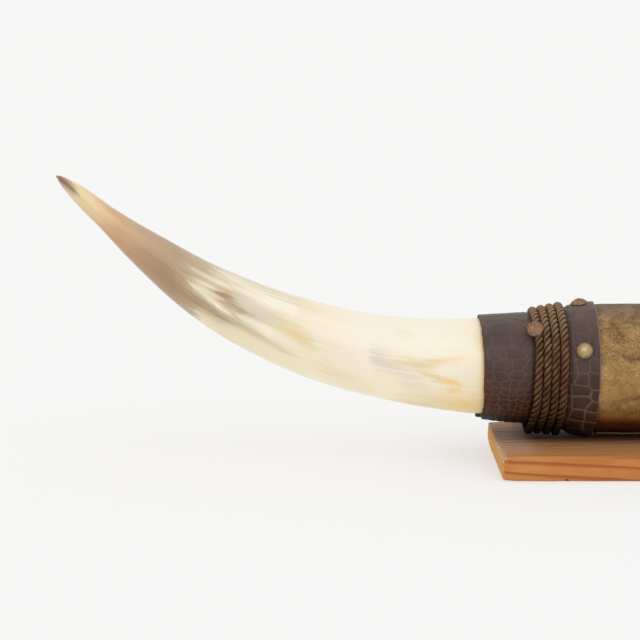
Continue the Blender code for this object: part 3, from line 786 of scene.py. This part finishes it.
def makeRope(side, word, seed):
    matrix = cuffMatrix(side)
    route = moved(matrix, ropeRoute(seed))
    run = np.concatenate([[0], np.cumsum(np.linalg.norm(np.diff(route, axis=0), axis=1))]) / mm
    count = int(run[-1] / rope["spacing"])
    s = np.linspace(0, run[-1], count + 1)
    core = np.stack([np.interp(s, run, route[:, k]) for k in range(3)], axis=1)
    ahead = unit(np.gradient(core, axis=0))
    axisStart = np.array(matrix @ Vector((0, 0, 0)))
    axisDirection = np.array(matrix.to_3x3() @ Vector((1, 0, 0)))
    outward = square(square(core - axisStart, axisDirection), ahead)
    across = np.cross(ahead, outward)
    strand = rope["radius"] / 2.1547  # three strands fill the rope's circle
    offset = strand * 1.1547
    made = []
    for number in range(3):
        piece, u, v = gridPiece(f"{word}_strand_{number}", rope["sides"], count)
        phase = tau * s / rope["lay"] + number * tau / 3 + 0.35 * cloud(seed + 5, s / 40)
        lean = np.cos(phase)[:, None] * outward + np.sin(phase)[:, None] * across
        centre = core + lean * offset * mm
        strandAhead = unit(np.gradient(centre, axis=0))
        first = square(lean, strandAhead)
        second = np.cross(strandAhead, first)
        k = np.round(v * count).astype(int)
        toEnd = np.minimum(s[k], run[-1] - s[k])
        ending = np.sqrt(np.clip(1 - (1 - np.clip(toEnd / 1.5, 0, 1)) ** 2, 0, 1))
        thick = strand * (1 + 0.05 * cloud(seed + 7 + number, s[k] / 9)) * ending
        angle = u * tau
        ring = thick * (1.06 - 0.10 * np.cos(angle) ** 2)
        ringPoints = (ring * np.cos(angle))[:, None] * first[k] + (ring * np.sin(angle))[:, None] * second[k]
        writePoints(piece, centre[k] + ringPoints * mm)
        keepNumbers(piece, "yarn", np.stack([u, s[k] / 6.0 + number * 3.7, thick / strand], axis=1))
        keepNumbers(piece, "depth", np.cos(angle))
        welded(piece, 0.004 * mm)
        made.append(piece)
    bpy.ops.object.select_all(action="DESELECT")
    for piece in made:
        piece.select_set(True)
    bpy.context.view_layer.objects.active = made[0]
    bpy.ops.object.join()
    whole = bpy.context.object
    whole.name = whole.data.name = f"{word}_rope_twisted"
    finished(whole, ropePaint, f"{word}_rope", sharp=60)
    return run[-1]


def paintRope():
    p = Paint("twisted rope", Specular_IOR_Level=0.04)
    tones = rope["tones"]
    yarn, depth = p.attribute("yarn", vector=True), p.attribute("depth")
    place = p.place()
    height = p.axis(place, "Z")
    girth, along = p.axis(yarn, "X"), p.axis(yarn, "Y")
    twist = p.maths("SINE", (girth * 7 - along * 5.0) * tau)
    fine = p.maths("SINE", (girth * 19 - along * 17.0) * tau)
    fuzz = p.noise(place, 2600, 3, 0.7)
    patch = p.noise(place, 130, 3, 0.6)
    colour = p.ramp(twist * 0.08 + fine * 0.04 + fuzz * 0.5 + patch * 0.5, tones["yarn"])
    # painted light on top, painted shade between the strands and underneath
    colour = p.over(colour, tones, top=height.between(0.095, 0.120) * 0.5, crevice=depth.between(0.85, 0.0) * 0.95,
                    low=height.between(0.100, 0.064) * 0.36, lowest=height.between(0.052, 0.026) * 0.92)
    p.end("Base Color", colour)
    p.end("Roughness", 0.75 + fuzz * 0.2)
    p.end("Normal", p.bump(twist * 0.5 + fine * 0.3 + fuzz * 1.3, 0.00022, 0.8))
    return p


ropePaint = paintRope()
for side, word, seed in ((-1, "left", 301), (1, "right", 340)):
    length = makeRope(side, word, seed)
print("ropes, each", round(length), "mm long")


# studs
stud = {
    # crown: two powers that round the head off; dented: how deep its dents are
    "flareHead": {"radius": 6.8, "height": 4.15, "crown": (1.9, 0.9), "dented": 0.3},
    "ropeHead": {"radius": 6.35, "height": 2.9, "crown": (3.6, 0.7), "dented": 0.8},
    "row": 13.5, "clearance": 0.4, "slopeFrom": 6.6, "slopeTo": 20.4,
    "angles": {"front": 24, "top": 88, "back": 152},
    "ropePlace": 50.4, "ropeHeight": 48.7, "ropeAngle": 45.5, "ropeFace": 34, "ropeLean": 0.2,
    # rings: from and to which share of the radius a tone comes in, how much of it, the tone
    "bright": {"metal": [(0.35, (134, 110, 80)), (0.5, (172, 144, 106)), (0.65, (208, 182, 140))],
               # the bright look's rings: a painted highlight in the middle, painted shade round the rim
               "rings": [(0.45, 0.0, 0.5, (238, 216, 176)), (0.6, 1.0, 0.7, (92, 70, 46))],
               "rough": 0.2, "relief": 0.0004},
    "dark": {"metal": [(0.35, (98, 74, 56)), (0.5, (142, 113, 87)), (0.65, (184, 152, 120))],
             "rings": [(0.85, 1.0, 0.45, (156, 128, 98))],
             "rough": 0.35, "relief": 0.0007},
}


def makeStud(side, name, head, where, face, lean, seed, paint):
    bpy.ops.object.select_all(action="DESELECT")
    bpy.ops.mesh.primitive_uv_sphere_add(segments=64, ring_count=40, radius=1)
    piece = startPiece(f"{name}_head")
    bpy.ops.object.mode_set(mode="EDIT")
    bpy.ops.mesh.select_all(action="SELECT")
    bpy.ops.mesh.bisect(plane_co=(0, 0, 0.02), plane_no=(0, 0, 1), clear_inner=True, use_fill=True)
    bpy.ops.object.mode_set(mode="OBJECT")
    x, y, z = readPoints(piece).T
    far = np.hypot(x, y)
    dome = (1 - np.clip(far, 0, 1) ** head["crown"][0]) ** head["crown"][1]
    dents = 0.10 * cloud(seed, x * 3.2 + 20, y * 3.2 + 20) + 0.04 * cloud(seed + 1, x * 9 + 20, y * 9 + 20)
    level = np.where(z > 0.02, 0.15 * ease(1.0, 0.985, far) + dome * 0.84 + dents * dome * head["dented"], 0)
    rim = 1 - 0.02 * np.abs(cloud(seed + 2, np.arctan2(y, x) * 2 + 12))
    radius = rim * head["radius"]
    shaped = np.stack([x * radius, y * radius, np.clip(level, 0, 1) * head["height"]], axis=1)
    turn = Vector((lean, -math.cos(face), math.sin(face))).to_track_quat("Z", "Y").to_matrix().to_4x4()
    writePoints(piece, moved(cuffMatrix(side) @ Matrix.Translation(where) @ turn, shaped * mm))
    keepNumbers(piece, "face", np.stack([x, y, level], axis=1))
    welded(piece, 0.002 * mm)
    finished(piece, paint, name, sharp=50)


def paintStud(name, look):
    p = Paint(name)
    face = p.attribute("face", vector=True)
    far = p.vectorMaths("LENGTH", p.scaled(face, 1, 1, 0), out=1)
    pits = p.noise(face, 9, 4, 0.7)
    patina = p.noise(face, 2.6, 4, 0.6)
    colour = p.ramp(pits * 0.5 + patina * 0.5, look["metal"])
    for low, high, share, tone in look["rings"]:
        colour = p.mix(far.between(low, high) * share, colour, tone)
    p.end("Base Color", colour)
    p.end("Metallic", 0.9 - patina.between(0.55, 0.75) * 0.5)
    p.end("Roughness", 0.34 + pits * look["rough"])
    p.end("Normal", p.bump(pits + patina, look["relief"], 0.6))
    return p


# the bright stud's paint holds a painted highlight and painted shade round its rim
brightStud, darkStud = paintStud("worn brass", stud["bright"]), paintStud("browned brass", stud["dark"])


def onWrap(along, height, angle):
    return Vector((along, -height * math.cos(angle), height * math.sin(angle))) * mm


for side, word in ((-1, "left"), (1, "right")):
    near, middle, far = cuffRadius(np.array([stud["slopeFrom"], stud["row"], stud["slopeTo"]]))
    slope = (near - far) / (stud["slopeTo"] - stud["slopeFrom"])
    for number, (place, degrees) in enumerate(stud["angles"].items()):
        angle = math.radians(degrees)
        where = onWrap(stud["row"], middle + stud["clearance"], angle)
        paint = brightStud if place == "front" else darkStud
        makeStud(side, f"{word}_{place}_stud", stud["flareHead"], where, angle, slope, 400 + number * 10, paint)
    where = onWrap(stud["ropePlace"], stud["ropeHeight"], math.radians(stud["ropeAngle"]))
    face = math.radians(stud["ropeFace"])
    makeStud(side, f"{word}_rope_stud", stud["ropeHead"], where, face, stud["ropeLean"], 450, darkStud)
print("studs")


# board
board = {
    "length": 310, "width": 140, "thickness": 19, "edge": 3.0, "cells": 48,
    "dent": (-106.5, -70, -8.5), "dentSize": (1.6, 2, 1.6), "dentDepth": 0.8,
    "nick": (-0.1065, -0.042, 0.0013),
    # growth rings: the tree's middle as seen from the end, and how far apart they lie
    "ringMiddle": (0.012, -0.0448), "ringWidth": 0.0046, "ringSlope": 0.0405, "ringShift": 0.004,
    "tones": {
        "early": [(0.3, (180, 113, 60)), (0.55, (192, 126, 69)), (0.75, (201, 139, 81))],
        "late": (146, 76, 40), "fibre": (158, 98, 58),
        "endGrain": ((212, 151, 66), (182, 114, 42)), "endFibre": (186, 132, 78), "endTop": (132, 96, 62),
        "weather": ((136, 98, 62), (196, 150, 102)), "leftEnd": (190, 160, 136),
        # the dark tone here is a painted shadow under the wrap
        "weatherLate": (116, 80, 52), "backCorner": (46, 28, 18),
        "stain": (96, 76, 58), "frayed": (222, 204, 178), "nick": (58, 30, 16),
    },
}


def makeBoard():
    bpy.ops.object.select_all(action="DESELECT")
    bpy.ops.mesh.primitive_cube_add(size=1)
    piece = startPiece("base_board_weathered")
    bpy.ops.object.mode_set(mode="EDIT")
    bpy.ops.mesh.select_all(action="SELECT")
    bpy.ops.mesh.subdivide(number_cuts=board["cells"] - 1)
    bpy.ops.object.mode_set(mode="OBJECT")
    size = np.array([board["length"], board["width"], board["thickness"]])
    points = readPoints(piece)
    inner = (size / 2 - board["edge"]) / (size / 2)
    share = np.abs(points * 2)
    # the outermost two rows of the grid go where the rounding starts, the rest share the flat evenly
    step = 2 / board["cells"]
    rim = np.where(share > 1 - step * 0.5, 1, inner * 0.5 + 0.5)
    share = np.where(share > 1 - step * 1.5, rim, share / (1 - step * 2) * inner)
    writePoints(piece, np.sign(points) * share * size / 2)
    applied(piece, "BEVEL", width=board["edge"] * 0.98, segments=5, limit_method="ANGLE",
            angle_limit=math.radians(50), use_clamp_overlap=True)
    points = readPoints(piece)
    x, y, z = points.T
    corner = np.sort(size / 2 - np.abs(points), axis=1)
    near = ease(7, 1, corner[:, 1]) * (corner[:, 0] < 6)
    chipped = ease(0.25, 0.8, cloud(501, x / 5, y / 4, z / 4)) * ease(8, 1, size[0] / 2 - np.abs(x)) * (z > 4)
    worn = near * (0.18 + 0.25 * cloud(503, x / 12, y / 12, z / 7) + 0.9 * chipped)
    worn += ease(8, 2, corner[:, 2]) * 0.4 + ease(7, 1, size[0] / 2 + x) * ease(6, 1, size[2] / 2 + z) * 0.9
    grooves = 0.05 * cloud(502, x / 60, y / 1.9, z / 3)
    outward = unit(np.where(np.abs(points) / (size / 2) > 0.86, np.sign(points), 0.0) + 1e-9)
    dent = np.exp(-np.sum(((points - board["dent"]) / board["dentSize"]) ** 2, axis=1))
    points = points - outward * np.clip(worn + grooves, 0, 2.0)[:, None]
    points[:, 1] += dent * board["dentDepth"]
    writePoints(piece, (points + np.array([0, 0, size[2] / 2])) * mm)
    finished(piece, boardPaint, "base_board", sharp=35)


def paintBoard():
    p = Paint("weathered softwood", Specular_IOR_Level=0.12)
    tones = board["tones"]
    place = p.place()
    drift = p.noise(p.scaled(place, 3, 22, 22), 1, 3, 0.5)
    wander = p.noise(p.scaled(place, 8, 26, 40), 1, 2, 0.5)
    x, y, z = (p.axis(place, letter) for letter in "XYZ")
    across = y - board["ringMiddle"][0] + (drift - 0.5) * 0.014
    up = z - board["ringMiddle"][1] + (wander - 0.5) * 0.006
    ring = p.maths("SQRT", across * across + up * up) + (drift - 0.5) * 0.004
    ring = ring + x * board["ringSlope"] + board["ringShift"]
    part = p.maths("FRACT", ring / board["ringWidth"])
    late = part.between(0.52, 0.86) * (1 - part.between(0.90, 0.99))
    end = p.maths("ABSOLUTE", x).between(0.1525, 0.1547)
    fibreAlong = p.noise(p.scaled(place, 30, 1500, 1500), 1, 4, 0.65)
    fibreEnd = p.noise(p.scaled(place, 900, 900, 900), 1, 3, 0.6)
    blotch = p.noise(p.scaled(place, 18, 40, 40), 1, 4, 0.6)
    colour = p.over(p.ramp(blotch, tones["early"]), tones, late=late * 0.72,
                    fibre=fibreAlong.between(0.55, 0.75) * 0.3)
    golden = p.over(p.mix(late * 0.4, *tones["endGrain"]), tones, endFibre=fibreEnd.between(0.4, 0.7) * 0.4,
                    endTop=z.between(0.010, 0.017) * 0.25)
    colour = p.mix(end, colour, golden)
    top = z.between(0.0172, 0.0188)
    front = y.between(-0.040, -0.068)
    # the weathered top colour, with a painted shadow under the wrap laid on it: darker from 22 mm in front of the
    # board's middle line to the back, all but the left end
    weather = p.mix(fibreAlong.between(0.3, 0.7), *tones["weather"])
    weather = p.over(weather, tones, leftEnd=x.between(-0.120, -0.138) * 0.75, weatherLate=late * 0.5,
                     backCorner=y.between(-0.022, 0.006) * x.between(-0.145, -0.122) * 0.85)
    colour = p.mix(top * (0.9 - front * 0.65) * (0.75 + blotch * 0.4), colour, weather)
    stain = p.noise(place, 55, 3, 0.6).between(0.62, 0.74) * top
    frayed = fibreEnd.between(0.50, 0.60) * x.between(-0.1500, -0.1530)
    frayed = frayed * z.between(0.0120, 0.0155) * y.between(0.01, -0.03)
    nick = p.vectorMaths("DISTANCE", p.scaled(place, 1, 0.6, 1.3), board["nick"], out=1)
    colour = p.over(colour, tones, stain=stain * 0.3, frayed=frayed * 0.85, nick=nick.between(0.0022, 0.0008) * 0.85)
    p.end("Base Color", colour)
    p.end("Roughness", 0.5 + fibreAlong * 0.2 + top * 0.1)
    p.end("Normal", p.bump(fibreAlong * 0.6 + late * 0.9 + fibreEnd * end, 0.00025, 0.5))
    return p


boardPaint = paintBoard()
makeBoard()
print("board")


# core and screws stay as built, with a skin of their own
plain = {
    "poplar": [(0.3, (176, 142, 98)), (0.7, (206, 176, 130))],
    "zinc": [(0.3, (150, 150, 142)), (0.7, (190, 188, 176))],
}


def paintPlain():
    wood = Paint("turned poplar", Roughness=0.7)
    place = wood.place()
    grain = wood.noise(wood.scaled(place, 12, 260, 260), 1, 4, 0.6)
    wood.end("Base Color", wood.ramp(grain, plain["poplar"]))
    wood.end("Normal", wood.bump(grain, 0.0002, 0.5))
    zinc = Paint("zinc plate", Metallic=1.0)
    spot = zinc.noise(zinc.place(), 900, 3, 0.6)
    zinc.end("Base Color", zinc.ramp(spot, plain["zinc"]))
    zinc.end("Roughness", 0.3 + spot * 0.25)
    return wood, zinc


corePaint, screwPaint = paintPlain()
for name, paint in (("center_core", corePaint), ("mounting_screw_1", screwPaint),
                    ("mounting_screw_2", screwPaint)):
    for used in nodes[name].material_slots:
        used.material = paint.material


# floor, light and camera
studio = {
    "floor": (168, 167, 166), "glow": 0.53, "sky": 0.925,
    "sun": {"from": (0.25, -0.75, 0.85), "angle": math.radians(60), "power": 0.45},
    "camera": (-0.291, -1.6055, 0.3414), "pitch": 8.13, "lens": 118.1,
}


def makeStudio():
    bpy.ops.object.select_all(action="DESELECT")
    bpy.ops.mesh.primitive_plane_add(size=400, location=(0, 150, 0))
    floor = startPiece("floor")
    paint = Paint("paper floor", Roughness=1.0, Specular_IOR_Level=0.0)
    paint.end("Base Color", studio["floor"])
    paint.end("Emission Color", (255, 255, 255))
    paint.end("Emission Strength", studio["glow"])
    floor.data.materials.append(paint.material)
    world = bpy.data.worlds.new("studio")
    world.use_nodes = True
    world.node_tree.nodes["Background"].inputs["Color"].default_value = (1, 1, 1, 1)
    world.node_tree.nodes["Background"].inputs["Strength"].default_value = studio["sky"]
    bpy.context.scene.world = world
    light = bpy.data.lights.new("soft sun", "SUN")
    light.angle, light.energy = studio["sun"]["angle"], studio["sun"]["power"]
    sun = bpy.data.objects.new("soft sun", light)
    sun.rotation_euler = Vector(studio["sun"]["from"]).to_track_quat("Z", "Y").to_euler()
    bpy.context.scene.collection.objects.link(sun)
    lens = bpy.data.cameras.new("camera")
    lens.lens, lens.sensor_width = studio["lens"], 36
    lens.clip_end = 1000
    camera = bpy.data.objects.new("camera", lens)
    camera.location = studio["camera"]
    camera.rotation_euler = (math.radians(90 - studio["pitch"]), 0, 0)
    bpy.context.scene.collection.objects.link(camera)
    bpy.context.scene.camera = camera
    bpy.context.scene.view_settings.view_transform = "Standard"


makeStudio()
bpy.context.view_layer.update()
